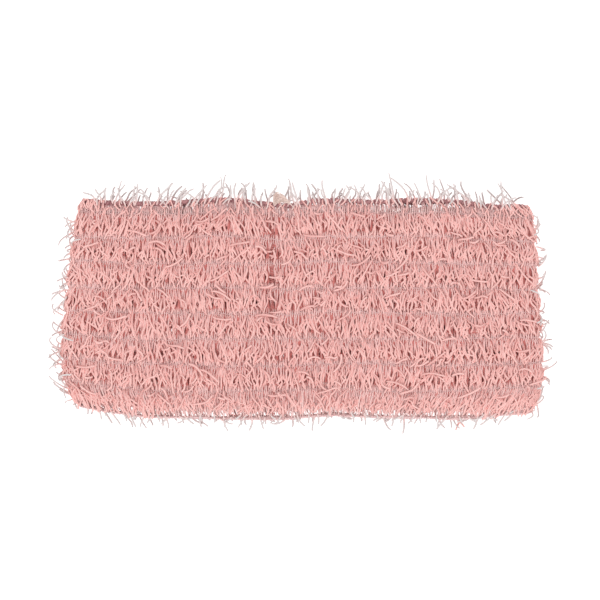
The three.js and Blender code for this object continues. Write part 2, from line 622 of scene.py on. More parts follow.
class YarnTree(Graph):
    """A Geometry Nodes tree that lays one kind of yarn set: rows of points, joined and made round.

    Each yarn gets a texture map that depends only on its tone and the place along and round it.
    """

    closed = False
    cell_margin = 0.08
    wrap_jump = 0.2
    least_tip = 0.72
    tip_power = 7.0
    table_clearance = 0.05 * MM

    def __init__(self, kind: type[YarnSet]) -> None:
        """Builds the tree.

        Args:
            kind: The yarn set, whose fields give the tree's inputs.
        """
        super().__init__(bpy.data.node_groups.new(f"Lay {kind.__name__}", "GeometryNodeTree"))
        self.identifiers: dict[str, str] = {}
        self.draws = 0
        self.left_out: Wire | None = None
        self.entry = self.node("NodeGroupInput")
        sockets = {int: "NodeSocketInt", float: "NodeSocketFloat", tuple: "NodeSocketVector"}
        inputs = {"piece": "NodeSocketGeometry", "guides": "NodeSocketObject", "yarn": "NodeSocketMaterial"}
        parts = {part.name: tree_values(part, part.default) for part in fields(kind)}
        for values in parts.values():
            inputs |= {name: sockets[type(value)] for name, value in values.items()}
        for name, socket in inputs.items():
            made = self.tree.interface.new_socket(name.title(), in_out="INPUT", socket_type=socket)
            self.identifiers[name] = made.identifier
        self.tree.interface.new_socket("Piece", in_out="OUTPUT", socket_type="NodeSocketGeometry")
        self.sizes = SimpleNamespace()
        for name, values in parts.items():
            wires = tuple(self.out(self.entry, one.title()) for one in values)
            setattr(self.sizes, name, wires if len(wires) > 1 else wires[0])
        holder = self.node("GeometryNodeObjectInfo", sockets={"Object": self.out(self.entry, "Guides")})
        curves = self.node("GeometryNodeMeshToCurve", sockets={"Mesh": self.out(holder, "Geometry")})
        self.guides = self.out(curves)
        index = self.out(self.node("GeometryNodeInputIndex"))
        steps = self.sizes.steps
        self.yarn = ((index + 0.5) / steps).floor()
        self.step = (index - self.yarn * steps) / (steps if self.closed else steps - 1.0)
        self.finish(*self.lay())

    def lay(self) -> tuple[VectorWire, Wire]:
        """Finds where each point of a yarn lies.

        Returns:
            The point's place and the yarn's radius.
        """
        raise NotImplementedError

    def draw(self, low: Wire | float, high: Wire | float) -> Wire:
        """Draws a random value for each yarn.

        Args:
            low: The least value.
            high: The most.

        Returns:
            The value.
        """
        self.draws += 1
        sockets = {"Min": low, "Max": high, "ID": self.yarn, "Seed": self.sizes.seed + float(self.draws)}
        return self.out(self.node("FunctionNodeRandomValue", {"data_type": "FLOAT"}, sockets), "Value")

    def home(self, jitter: Wire) -> Wire:
        """Spaces the yarns along their stretch of the line, each moved by a share of the spacing."""
        first, last = self.sizes.stretch
        return first + (last - first) * ((self.yarn + jitter) / self.sizes.count)

    def drift(self, home: Wire, pitch: Wire, stream: float) -> Wire:
        """Reads a smooth random value along the line.

        Args:
            home: The share of the way along the line.
            pitch: About how far apart its peaks are.
            stream: Which of the set's smooth values it is.

        Returns:
            The value, from 0 to 1.
        """
        sockets = {"W": home * self.sizes.length / pitch + self.sizes.seed * stream, "Scale": 1.0, "Detail": 1.0}
        return self.out(self.node("ShaderNodeTexNoise", {"noise_dimensions": "1D"}, sockets), 0)

    def store(self, geometry: Wire, name: str, value: Wire, kind: str = "FLOAT", domain: str = "POINT") -> Wire:
        """Stores a named value on geometry.

        Args:
            geometry: What it is stored on.
            name: The value's name.
            value: The value.
            kind: Its data type.
            domain: Whether points or corners hold it.

        Returns:
            The geometry with the value.
        """
        settings = {"data_type": kind, "domain": domain}
        stored = self.node("GeometryNodeStoreNamedAttribute", settings, {"Geometry": geometry, "Name": name})
        self._fill(self._input(stored, "Value"), value)
        return self.out(stored)

    def stored(self, name: str) -> Wire:
        """Reads a named value."""
        reader = self.node("GeometryNodeInputNamedAttribute", {"data_type": "FLOAT"}, {"Name": name})
        return self.out(reader, "Attribute")

    def on_line(self, line: int, around: Wire) -> tuple[VectorWire, VectorWire]:
        """Finds the place and direction on a guide line.

        Args:
            line: The line's number.
            around: The share of the way along it.

        Returns:
            The place and the direction.
        """
        sockets = {"Curves": self.guides, "Factor": around.fraction(), "Curve Index": line}
        sample = self.node("GeometryNodeSampleCurve", {"mode": "FACTOR"}, sockets)
        return self.out(sample, "Position"), self.out(sample, "Tangent")

    def on_band(self, around: Wire, down: Wire, lift: Wire) -> VectorWire:
        """Finds a place on the band.

        Args:
            around: The share of the way round the loop.
            down: The way down from the upper guide line, as a share of the gap to the lower one.
            lift: The height above the lines.

        Returns:
            The place.
        """
        upper, along = self.on_line(0, around)
        lower, _ = self.on_line(1, around)
        outward = along.cross(UP_THE_BAND).unit()
        return upper + (lower - upper) * down + outward * lift

    def unwrapped(self, name: str) -> Wire:
        """Reads a named value at face corners, taken on past 1 where a face bridges its end and its start.

        Args:
            name: The value's name.

        Returns:
            The value.
        """
        value = self.stored(name)
        settings = {"data_type": "FLOAT", "domain": "FACE"}
        middle = self.out(self.node("GeometryNodeFieldOnDomain", settings, {"Value": value}))
        return value + ((middle - value) > self.wrap_jump)

    def profile(self) -> Wire:
        """Makes the yarn's round section, which knows how far round itself each point is.

        Returns:
            The section.
        """
        sockets = {"Resolution": self.sizes.sides, "Radius": 1.0}
        circle = self.out(self.node("GeometryNodeCurvePrimitiveCircle", sockets=sockets))
        index = self.out(self.node("GeometryNodeInputIndex"))
        return self.store(circle, "turn", index / self.sizes.sides)

    def above_table(self, place: VectorWire, radius: Wire) -> VectorWire:
        """Lifts points that would sink below the surface.

        Args:
            place: The points.
            radius: The yarn's radius there.

        Returns:
            The points, lifted.
        """
        x, y, z = place.parts()
        lifted = self.maths("MAXIMUM", z, radius + self.table_clearance)
        return self.out(self.node("ShaderNodeCombineXYZ", sockets={0: x, 1: y, 2: lifted}))

    def finish(self, place: VectorWire, radius: Wire) -> None:
        """Makes the yarns from their points and adds them to the piece.

        Args:
            place: Where each point lies.
            radius: The yarn's radius.
        """
        cloud = self.out(self.node("GeometryNodePoints", sockets={"Count": self.sizes.count * self.sizes.steps}))
        cloud = self.store(cloud, "yarn", self.yarn)
        cloud = self.store(cloud, "along", self.step)
        cloud = self.store(cloud, "tone", self.draw(0.0, float(TONES)).floor())
        if not self.closed:
            ends = (self.step * 2.0 - 1.0).size() ** self.tip_power
            radius = radius * (1.0 - ends * (1.0 - self.least_tip))
        cloud = self.store(cloud, "thick", radius)
        sockets = {"Geometry": cloud, "Position": self.above_table(place, radius)}
        cloud = self.out(self.node("GeometryNodeSetPosition", sockets=sockets))
        if self.left_out is not None:
            sockets = {"Geometry": cloud, "Selection": self.left_out}
            cloud = self.out(self.node("GeometryNodeDeleteGeometry", {"domain": "POINT"}, sockets))
        sockets = {"Points": cloud, "Curve Group ID": self.stored("yarn"), "Weight": self.stored("along")}
        curves = self.out(self.node("GeometryNodePointsToCurves", sockets=sockets))
        if self.closed:
            curves = self.out(self.node("GeometryNodeSetSplineCyclic", sockets={"Geometry": curves, "Cyclic": True}))
        sockets = {"Curve": curves, "Profile Curve": self.profile(), "Scale": self.stored("thick")}
        mesh = self.out(self.node("GeometryNodeCurveToMesh", sockets={**sockets, "Fill Caps": not self.closed}))
        turn = self.unwrapped("turn") * (1 - 2 * self.cell_margin) + self.cell_margin
        across = (self.stored("tone") + turn) / float(TONES)
        spot = self.node("ShaderNodeCombineXYZ", sockets={0: self.unwrapped("along"), 1: across})
        mesh = self.store(mesh, YARN_MAP, self.out(spot), "FLOAT2", "CORNER")
        smooth = self.node("GeometryNodeSetShadeSmooth", sockets={"Geometry": mesh})
        real = self.node("GeometryNodeRealizeInstances", sockets={"Geometry": self.out(smooth)})
        sockets = {"Geometry": self.out(real), "Material": self.out(self.entry, "Yarn")}
        dressed = self.out(self.node("GeometryNodeSetMaterial", sockets=sockets))
        joined = self.node("GeometryNodeJoinGeometry")
        self._fill(joined.inputs[0], dressed)
        self._fill(joined.inputs[0], self.out(self.entry, "Piece"))
        leave = self.node("NodeGroupOutput")
        self._fill(leave.inputs[0], self.out(joined))


class RunningTree(YarnTree):
    """Lays yarns that run from line to line."""

    jitter = 0.6
    waves = (0.9, 2.3)
    tuck_power = 0.6
    free_power = 3.0
    clump_gain = 3.0
    patch_share = 0.85
    stagger_stream, clump_stream, patch_stream = 0.19, 0.37, 0.73

    def lay(self) -> tuple[VectorWire, Wire]:
        """Finds where each point of a yarn lies.

        Returns:
            The point's place and the yarn's radius.
        """
        sizes, step = self.sizes, self.step
        home = self.home(self.draw(-self.jitter, self.jitter))
        drop = (self.drift(home, sizes.stagger_pitch, self.stagger_stream) - 0.5) * sizes.stagger
        start, end = (self.draw(*place) + drop for place in (sizes.start, sizes.end))
        arch = (step * math.pi).sine()
        sideways = sizes.slant * self.draw(-1.0, 1.0) * (step - 0.5) + sizes.bow * self.draw(-1.0, 1.0) * arch
        beat = step * self.draw(*self.waves) + self.draw(0.0, 1.0)
        sideways = sideways + (beat * FULL_TURN).sine() * self.draw(0.0, sizes.wave)
        pull = self.drift(home, sizes.clump_pitch, self.clump_stream) - 0.5
        sideways = sideways + pull * step * sizes.clump * self.clump_gain
        free = self.draw(0.0, 1.0) < sizes.free_share
        tucked = arch ** self.tuck_power
        rising = 1.0 - (1.0 - step) ** self.free_power
        hump = tucked + (rising - tucked) * free
        lift = sizes.root_lift + (self.draw(*sizes.peak) - sizes.root_lift) * hump
        beside = ((home + 0.5).fraction() - 0.5).size() * sizes.length
        at_seam = (beside < sizes.seam_clear) * (self.draw(0.0, 1.0) < sizes.seam_share)
        thin_patch = self.drift(home, sizes.patch_pitch, self.patch_stream) > sizes.patch_level
        in_patch = thin_patch * (self.draw(0.0, 1.0) < self.patch_share)
        self.left_out = (at_seam + in_patch) > 0.5
        place = self.on_band(home + sideways / sizes.length, start + (end - start) * step, lift)
        return place, self.draw(*sizes.radius)


class EndsTree(YarnTree):
    """Lays loose ends."""

    waves = (0.5, 1.3)

    def lay(self) -> tuple[VectorWire, Wire]:
        """Finds where each point of an end lies.

        Returns:
            The point's place and the yarn's radius.
        """
        sizes, step = self.sizes, self.step
        home = self.home(self.draw(0.0, 1.0))
        root = self.draw(*sizes.root)
        bend = sizes.heading + sizes.heading_spread * self.draw(-1.0, 1.0) + step * sizes.curl * self.draw(-1.0, 1.0)
        reach = self.draw(*sizes.reach) * step
        beat = step * self.draw(*self.waves) + self.draw(0.0, 1.0)
        stray = (beat * FULL_TURN).sine() * step * self.draw(0.0, sizes.wave)
        sideways = reach * bend.cosine() - stray * bend.sine()
        rise = reach * bend.sine() + stray * bend.cosine()
        near, far = self.draw(*sizes.root_lift), self.draw(*sizes.end_lift)
        lift = near + (far - near) * (1.0 - (1.0 - step) ** 2.0)
        place = self.on_band(home + sideways / sizes.length, root - rise / sizes.gap, lift)
        return place, self.draw(*sizes.radius)


class StitchTree(YarnTree):
    """Lays closed loops side by side."""

    closed = True
    jitter = 0.15
    leans = (0.5, 1.5)

    def lay(self) -> tuple[VectorWire, Wire]:
        """Finds where each point of a loop lies.

        Returns:
            The point's place and the yarn's radius.
        """
        sizes = self.sizes
        angle = self.step * FULL_TURN
        tall = sizes.height * (1.0 + sizes.unevenness * self.draw(-1.0, 1.0)) * 0.5
        tilt = sizes.lean * self.draw(*self.leans) * 0.5
        place, along = self.on_line(0, (self.yarn + self.draw(-self.jitter, self.jitter) + 0.5) / sizes.count)
        across = VectorWire(self, sizes.across.socket)
        outward = along.cross(across).unit()
        place = place + across * (angle.cosine() * tall) + along * (angle.cosine() * tilt)
        return place + outward * (angle.sine() * sizes.depth * 0.5), self.draw(*sizes.radius)


class ThreadTree(YarnTree):
    """Lays long threads along lines, and stops just short of a line's end, where its start would be read."""

    last_step = 0.9999

    def lay(self) -> tuple[VectorWire, Wire]:
        """Finds where each point of a thread lies.

        Returns:
            The point's place and the yarn's radius.
        """
        sizes, step = self.sizes, self.step
        beat = step * sizes.length / sizes.stray_pitch * FULL_TURN + self.draw(0.0, FULL_TURN)
        share = self.draw(*sizes.share) + beat.sine() * sizes.stray / sizes.gap
        place = self.on_band(step * self.last_step, share, sizes.lift + beat.cosine() * sizes.stray)
        return place, self.draw(*sizes.radius)


@cache
def tree_for(kind: type[YarnSet]) -> YarnTree:
    """Finds the tree that lays a kind of yarn set, and builds it on first use.

    Args:
        kind: The kind of yarn set.

    Returns:
        The tree.
    """
    trees = {RunningYarns: RunningTree, LooseEnds: EndsTree, StitchLoops: StitchTree, LaidThreads: ThreadTree}
    return trees[kind](kind)


def settle(source: bpy.types.Object, name: str) -> bpy.types.Object:
    """Turns an object's evaluated shape into a plain mesh object and removes the source.

    Args:
        source: The object with its modifiers.
        name: The new object's name.

    Returns:
        The new object, at the origin.
    """
    bpy.context.view_layer.update()
    depsgraph = bpy.context.evaluated_depsgraph_get()
    mesh = bpy.data.meshes.new_from_object(source.evaluated_get(depsgraph), depsgraph=depsgraph)
    mesh.name = name
    bpy.data.meshes.remove(source.data)
    return in_scene(name, mesh)


def hand_over(piece: bpy.types.Object, slot: str, *stands_for: str) -> bpy.types.Object:
    """Gives a finished piece to the frame and reports it.

    Args:
        piece: The finished piece.
        slot: Not used.
        *stands_for: The CAD nodes that it stands for.

    Returns:
        The piece.
    """
    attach(piece, BODY)
    if stands_for:
        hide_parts(*stands_for)
    LOG.info("%s: %d faces, for %s", piece.name, len(piece.data.polygons), ", ".join(stands_for) or "itself")
    return piece


def make_piece(
    name: str, lines: list[np.ndarray], sets: "YarnSets", slot: str, *stands_for: str, closed: bool = True
) -> bpy.types.Object:
    """Makes one piece from sets of yarns that follow the same guide lines, and hands it over.

    Args:
        name: The piece's name.
        lines: The guide lines, the upper one first.
        sets: The sets of yarns, each with what it is made of, from the deepest out.
        slot: The material slot, handed on with the piece.
        *stands_for: The CAD nodes that it stands for.
        closed: Whether the lines close on themselves.

    Returns:
        The piece, at the origin.
    """
    guides = line_holder(f"{name}_guides", lines, closed)
    base = in_scene(f"{name}_work", bpy.data.meshes.new(f"{name}_work"))
    for yarns, finish in sets:
        tree = tree_for(type(yarns))
        modifier = base.modifiers.new(type(yarns).__name__, "NODES")
        modifier.node_group = tree.tree
        values = {"guides": guides, "yarn": finish.material}
        for part in fields(yarns):
            values |= tree_values(part, getattr(yarns, part.name))
        for key, value in values.items():
            modifier[tree.identifiers[key]] = value
    piece = settle(base, name)
    for scratch in ("yarn", "along", "tone", "thick", "turn"):
        piece.data.attributes.remove(piece.data.attributes[scratch])
    bpy.data.meshes.remove(guides.data)
    return hand_over(piece, slot, *stands_for)


# Finishes


class ShaderGraph(Graph):
    """A material's node tree with its Principled shader."""

    def __init__(self, name: str) -> None:
        """Starts a material.

        Args:
            name: The material's name.
        """
        self.material = bpy.data.materials.new(name)
        self.material.use_nodes = True
        super().__init__(self.material.node_tree)
        self.shader = next(n for n in self.tree.nodes if n.type == "BSDF_PRINCIPLED")

    def blend(self, share: Wire | float, first: Wire | Colour, second: Wire | Colour) -> Wire:
        """Mixes two colours.

        Args:
            share: How much of the second there is.
            first: The first colour.
            second: The second colour.

        Returns:
            The mixed colour.
        """
        mix = self.node("ShaderNodeMix", {"data_type": "RGBA"}, {"Factor": share})
        for key, colour in (("A", first), ("B", second)):
            value = colour if isinstance(colour, Wire) else (*colour, 1.0)
            self._fill(self._input(mix, key), value)
        return self.out(mix, "Result")

    def dress(self, colour: Wire, roughness: Wire, height: Wire, depth: float) -> None:
        """Gives the shader its colour, roughness and relief.

        Args:
            colour: The colour.
            roughness: The roughness.
            height: The relief, from 0 to 1.
            depth: How deep the relief is.
        """
        bump = self.node("ShaderNodeBump", sockets={"Distance": depth, "Height": height})
        for name, wire in (("Base Color", colour), ("Roughness", roughness), ("Normal", self.out(bump))):
            self._fill(self.shader.inputs[name], wire)

    def cloud(self, spot: VectorWire, scale: float, detail: float) -> Wire:
        """Reads a cloudy random value at a spot of the texture map."""
        sockets = {"Vector": spot, "Scale": scale, "Detail": detail}
        return self.out(self.node("ShaderNodeTexNoise", sockets=sockets), "Fac")

    def ramp(self, value: Wire, first: float, last: float, start: float, stop: float) -> Wire:
        """Eases from one value to another.

        Args:
            value: What it goes by.
            first: Where in that the change starts.
            last: Where it ends.
            start: The value before the change.
            stop: The value after it.

        Returns:
            The eased value.
        """
        sockets = {"Value": value, "From Min": first, "From Max": last, "To Min": start, "To Max": stop}
        return self.out(self.node("ShaderNodeMapRange", {"interpolation_type": "SMOOTHSTEP"}, sockets))

    def set(self, **values: float | tuple) -> None:
        """Sets constant inputs of the shader."""
        for name, value in values.items():
            self.shader.inputs[name].default_value = value


@dataclass(frozen=True)
class YarnFinish:
    """A spun yarn: each has a tone of its own, its plies show as a twist with painted shade in its grooves, and some
    change colour to their end.
    """

    name: str
    slot: str
    deep: Colour
    light: Colour
    tip: Colour | None = None
    roughness: float = 0.8
    twists: float = 9.0
    twist_depth: float = 0.05 * MM
    tip_share: float = 0.4
    tip_from: float = 0.7
    tone_part, ply_part, fleck_part = 0.72, 0.14, 0.14
    ply_relief, fleck_relief = 0.7, 0.3
    fleck_scale, fleck_detail, fleck_roughness = 46.0, 3.0, 0.12
    tip_fade = 0.3
    shine = {"Sheen Weight": 0.25, "Sheen Roughness": 0.5, "Specular IOR Level": 0.25}

    @cached_property
    def material(self) -> bpy.types.Material:
        """Builds the yarn's material on its texture map, on first use.

        Returns:
            The material.
        """
        graph = ShaderGraph(self.name)
        spot = graph.out(graph.node("ShaderNodeUVMap", {"uv_map": YARN_MAP}))
        along, across, _ = spot.parts()
        cell = across * float(TONES)
        tone = graph.out(graph.node("ShaderNodeTexWhiteNoise", {"noise_dimensions": "1D"}, {"W": cell.floor()}))
        ply = ((along * self.twists + cell.fraction()) * FULL_TURN).sine() * 0.5 + 0.5
        fleck = graph.cloud(spot, self.fleck_scale, self.fleck_detail)
        # Painted shade: the ply wave that shapes the twist's relief also darkens the colour in its grooves and lightens
        # it on its ridges.
        light = tone * self.tone_part + ply * self.ply_part + fleck * self.fleck_part
        colour = graph.blend(light, self.deep, self.light)
        if self.tip:
            near, far = self.tip_from - self.tip_fade, self.tip_from + self.tip_fade
            colour = graph.blend(graph.ramp(along, near, far, 0.0, self.tip_share), colour, self.tip)
        relief = ply * self.ply_relief + fleck * self.fleck_relief
        graph.dress(colour, self.roughness + fleck * self.fleck_roughness, relief, self.twist_depth)
        graph.set(**self.shine, **{"Sheen Tint": (*self.light, 1.0)})
        return graph.material


@dataclass(frozen=True)
class KnitFinish:
    """A fine ground knit with ribs that run up the band, with painted shade: darker in the grooves of its ribs and
    stitches.
    """

    name: str
    slot: str
    deep: Colour
    light: Colour
    edge: Colour
    ribs: float
    courses: float
    roughness: float = 0.9
    depth: float = 0.12 * MM
    edge_from: float = 0.13
    edge_to: float = 0.05
    rib_part, stitch_part, patch_part = 0.45, 0.25, 0.3
    rib_relief, stitch_relief = 0.6, 0.4
    patch_scale, patch_detail, patch_roughness = 18.0, 4.0, 0.08
    stitch_slope = 1.2
    shine = {"Sheen Weight": 0.2, "Specular IOR Level": 0.2}

    @cached_property
    def material(self) -> bpy.types.Material:
        """Builds the knit's material on its texture map, on first use.

        Returns:
            The material.
        """
        graph = ShaderGraph(self.name)
        spot = graph.out(graph.node("ShaderNodeUVMap", {"uv_map": YARN_MAP}))
        around, down, _ = spot.parts()
        rib = (around * self.ribs * FULL_TURN).cosine() * 0.5 + 0.5
        slope = ((around * self.ribs).fraction() - 0.5).size()
        stitch = ((down * self.courses + slope * self.stitch_slope) * FULL_TURN).sine() * 0.5 + 0.5
        patch = graph.cloud(spot, self.patch_scale, self.patch_detail)
        # Painted shade: the rib and stitch waves that shape the relief also darken the colour in their grooves.
        light = rib * self.rib_part + stitch * self.stitch_part + patch * self.patch_part
        # Near the bottom hem the painted dark red gives way to the pale edge colour.
        at_edge = graph.ramp(down, self.edge_to, self.edge_from, 1.0, 0.0)
        colour = graph.blend(at_edge, graph.blend(light, self.deep, self.light), self.edge)
        relief = rib * self.rib_relief + stitch * self.stitch_relief
        graph.dress(colour, self.roughness + patch * self.patch_roughness, relief, self.depth)
        graph.set(**self.shine)
        return graph.material


PILE_YARN = YarnFinish(
    "pile_yarn_pink", "pile_yarn", deep=(0.80, 0.42, 0.39), light=(0.91, 0.555, 0.52), tip=(0.93, 0.60, 0.56)
)
# Painted light: the fringe is the pile yarn's own ends, given a paler colour that turns grey-beige along most of each
# end, standing in for how the pink yarn looks backlit against the pale floor.
FRINGE_YARN_PAINTED_BACKLIGHT = YarnFinish(
    "fringe_yarn_painted_backlight", "pile_yarn", deep=(0.80, 0.54, 0.515), light=(0.88, 0.66, 0.63), tip=(0.69, 0.625, 0.615),
    tip_share=0.96, tip_from=0.28,
)
# The tips are painted shade: the ground threads turn a darker red towards their ends, which lie in the row's open
# slits, where shade falls.
GROUND_THREAD_SHADED_TIPS = YarnFinish(
    "ground_thread_rose", "chain_yarn", deep=(0.75, 0.45, 0.43), light=(0.89, 0.585, 0.56), tip=(0.76, 0.37, 0.345),
    roughness=0.88, twists=14.0, twist_depth=0.03 * MM, tip_share=0.7, tip_from=0.66,
)
CHAIN_THREAD = YarnFinish(
    "chain_thread_mauve", "chain_yarn", deep=(0.76, 0.49, 0.47), light=(0.90, 0.64, 0.61),
    roughness=0.88, twists=6.0, twist_depth=0.03 * MM,
)
LINE_THREAD = YarnFinish(
    "line_thread_mauve", "chain_yarn", deep=(0.57, 0.34, 0.335), light=(0.73, 0.47, 0.455),
    roughness=0.88, twists=160.0, twist_depth=0.03 * MM,
)
HEM_THREAD = YarnFinish(
    "hem_thread_plum", "hem_yarn", deep=(0.29, 0.12, 0.13), light=(0.51, 0.27, 0.275),
    roughness=0.85, twists=5.0, twist_depth=0.04 * MM,
)
LOWER_HEM_THREAD = YarnFinish(
    "hem_thread_mauve", "hem_yarn", deep=(0.64, 0.41, 0.41), light=(0.84, 0.61, 0.595),
    roughness=0.85, twists=5.0, twist_depth=0.04 * MM,
)
COVERED_ELASTIC = YarnFinish(
    "covered_elastic_pale", "covered_elastic", deep=(0.55, 0.44, 0.41), light=(0.74, 0.64, 0.60),
    roughness=0.6, twists=300.0,
)
SEAM_THREAD = YarnFinish(
    "seam_thread_rose", "seam_thread", deep=(0.46, 0.16, 0.15), light=(0.62, 0.27, 0.25),
    twists=12.0, twist_depth=0.02 * MM,
)
TUFT_THREAD = YarnFinish(
    "tuft_thread_beige", "seam_thread", deep=(0.70, 0.50, 0.44), light=(0.84, 0.68, 0.62), tip=(0.84, 0.70, 0.65),
    roughness=0.5, twists=12.0, twist_depth=0.02 * MM,
)
# Partly painted shade: the knit is real rose cloth, but its deep dark red stands in for the shade seen in the gaps
# between the pile yarns. Near the bottom hem it turns to the pale edge colour instead.
GROUND_KNIT_PAINTED_SHADE = KnitFinish(
    "ground_knit_rose_painted_shade", "chain_yarn", deep=(0.51, 0.155, 0.143), light=(0.67, 0.255, 0.233), edge=(0.82, 0.57, 0.55),
    ribs=296.0, courses=120.0,
)

YarnSets = list[tuple[YarnSet, YarnFinish]]


# Sub-assemblies


@dataclass
class BandPiece:
    """A piece of yarns that follow two guide lines round the band."""

    shape: BandShape
    outside = 1.2 * MM

    @staticmethod
    def seeded(sets: YarnSets, seed: int, apart: int = Seed.SET) -> YarnSets:
        """Gives each set of yarns random draws of its own."""
        return [(replace(yarns, seed=seed + apart * i), finish) for i, (yarns, finish) in enumerate(sets)]

    def make(
        self, name: str, lines: Pair, at: float, sets: YarnSets, slot: str, *stands_for: str, seam_gap: float = 0.0
    ) -> bpy.types.Object:
        """Makes the piece and hands it over.

        Args:
            name: The piece's name.
            lines: The heights of the upper and the lower guide line.
            at: The height at which the way round the band is measured.
            sets: The sets of yarns, from the deepest out.
            slot: The material slot, handed on with the piece.
            *stands_for: The CAD nodes that it stands for.
            seam_gap: What the lines leave open at the seam.

        Returns:
            The piece.
        """
        guides = [self.shape.loop(height, self.outside, seam_gap) for height in lines]
        shared = {"length": self.shape.loop_length(at, self.outside), "gap": lines[0] - lines[1]}
        sets = [(replace(yarns, **shared), finish) for yarns, finish in sets]
        return make_piece(name, guides, sets, slot, *stands_for, closed=not seam_gap)


@dataclass
class PileRow(BandPiece):
    """One row of the band between two lines: ground threads, pile yarns over them and loose ends on top."""

    row: int
    hem_shown = (-66 * MM, 82 * MM)
    hem_cover_pitch = 1.5 * MM
    open_seam_rows = 4
    thin_rows = 5
    bar_places = (-17 * MM, -14 * MM)
    fold_inset = 0.3

    def lines(self) -> Pair:
        """Finds the heights of the lines above and below the row.

        Returns:
            The upper height and the lower one.
        """
        names = self.shape.courses()
        place = names.index(f"pile_row_{self.row}")
        return self.shape.height_of(names[place - 1]), self.shape.height_of(names[place + 1])

    def running(self) -> YarnSets:
        """Lists the yarns that run from line to line, from the deepest out.

        Returns:
            The sets.
        """
        last, seam_open, thin = self.row == self.shape.rows, self.row <= self.open_seam_rows, self.row <= self.thin_rows
        ground = RunningYarns(
            count=490, radius=(0.29, 0.4), steps=5, sides=5, slant=1.1, start=(-0.02, 0.02), end=(0.36, 0.72),
            root_lift=0.15, peak=(0.4, 1.6), patch_level=0.7 if thin else 0.78, patch_pitch=2.4, seam_clear=1.3,
            seam_share=0.6 if seam_open else 0.0,
        )
        rising = replace(ground, count=440, start=(0.98, 1.02), end=(0.62, 0.78), slant=0.8)
        posts = replace(ground, count=290, end=(0.9, 1.02), patch_level=1.0, clump=0.8)
        pile = RunningYarns(
            count=580, radius=(0.4, 0.54), slant=3.6, bow=0.8, wave=0.65, root_lift=0.2, peak=(0.9, 2.45),
            start=(0.06, 0.48) if last else (-0.04, 0.36), end=(0.62, 0.88) if last else (0.66, 1.0),
            stagger=0.0 if last else 0.34, free_share=0.45, clump=1.6, clump_pitch=4.2,
            patch_level=0.64 if thin else 0.68, patch_pitch=2.8, seam_clear=2.9, seam_share=0.94 if seam_open else 0.35,
        )
        short = replace(
            pile, count=200, radius=(0.38, 0.52), slant=6.5, bow=1.5, wave=0.55, root_lift=0.8, peak=(1.2, 2.75),
            start=(-0.14, 0.4), end=(0.45, 0.82 if last else 1.05), stagger=0.0 if last else 0.5, stagger_pitch=5.0,
            free_share=0.7, patch_level=0.64, seam_clear=2.3, seam_share=0.85 if seam_open else 0.2,
        )
        made = [(ground, GROUND_THREAD_SHADED_TIPS), (pile, PILE_YARN), (short, PILE_YARN)]
        return made + ([(posts, CHAIN_THREAD), *self.hem_cover(pile)] if last else [(rising, GROUND_THREAD_SHADED_TIPS)])

    def hem_cover(self, pile: RunningYarns) -> YarnSets:
        """Lists the pile that hides the bottom hem round the two folds.

        Args:
            pile: The row's pile.

        Returns:
            The sets at the left fold and at the right one.
        """
        shape, height, made = self.shape, sum(self.lines()) / 2, []
        near_left, near_right = (shape.share_at(x, height, self.outside) for x in self.hem_shown)
        left, right = (shape.fold_stretch(height, self.outside, side) for side in Side)
        length = shape.loop_length(height, self.outside)
        for start, stop in ((left[0] - 1, near_left), (near_right, right[1])):
            count = round((stop - start) * length / self.hem_cover_pitch)
            cover = replace(pile, count=count, stretch=(start, stop), start=(0.2, 0.5), end=(0.95, 1.14))
            made.append((replace(cover, patch_level=1.0, clump=0.6), PILE_YARN))
        return made

    def loose(self, middle: float) -> YarnSets:
        """Lists the loose ends on both layers, at the folds and across the seam.

        Args:
            middle: The height of the row's middle.

        Returns:
            The sets.
        """
        shape, outside = self.shape, self.outside
        top = LooseEnds(
            count=16, radius=(0.44, 0.54), stretch=shape.upper_stretch(middle, outside), reach=(3.0, 7.0), curl=0.9,
            wave=0.7, root_lift=(1.4, 2.8), end_lift=(2.8, 4.0), root=(0.0, 0.5 if self.row == shape.rows else 1.0),
        )
        lying = replace(top, count=8, heading=0.0, heading_spread=0.6, reach=(5.0, 11.0), curl=0.6)
        under = LooseEnds(
            count=20, radius=(0.42, 0.5), stretch=shape.lower_stretch(middle, outside), root_lift=(1.2, 2.0),
            end_lift=(2.2, 2.75),
        )
        made = [(top, PILE_YARN), (under, PILE_YARN), (lying, PILE_YARN)]
        for side, count in ((Side.LEFT, 4), (Side.RIGHT, 3)):
            start, stop = shape.fold_stretch(middle, outside, side)
            inset = (stop - start) * self.fold_inset
            ends = LooseEnds(
                count=count, radius=(0.34, 0.44), stretch=(start + inset, stop - inset), heading_spread=0.6,
                reach=(2.0, 7.5), root_lift=(1.0, 2.0), end_lift=(3.0, 8.5), curl=0.6, wave=0.4,
            )
            made += [(ends, FRINGE_YARN_PAINTED_BACKLIGHT), (replace(ends, heading=math.pi / 2), FRINGE_YARN_PAINTED_BACKLIGHT)]
        if self.row <= self.thin_rows:
            start, stop = (shape.share_at(x, middle, outside) for x in self.bar_places)
            bars = LooseEnds(
                count=2, radius=(0.44, 0.5), stretch=(start, stop), heading=0.0, heading_spread=0.3, curl=0.3,
                reach=(3.0, 7.0), root_lift=(0.9, 1.6), end_lift=(1.4, 2.4), wave=0.3,
            )
            made.append((bars, PILE_YARN))
        return made

    def build(self) -> bpy.types.Object:
        """Builds the row and hands it over.

        Returns:
            The row's piece.
        """
        middle = sum(self.lines()) / 2
        sets = self.seeded(self.running() + self.loose(middle), Seed.ROW * self.row)
        name, node = f"row_{self.row}_pile_yarns", f"pile_row_{self.row}"
        return self.make(name, self.lines(), middle, sets, PILE_YARN.slot, node)


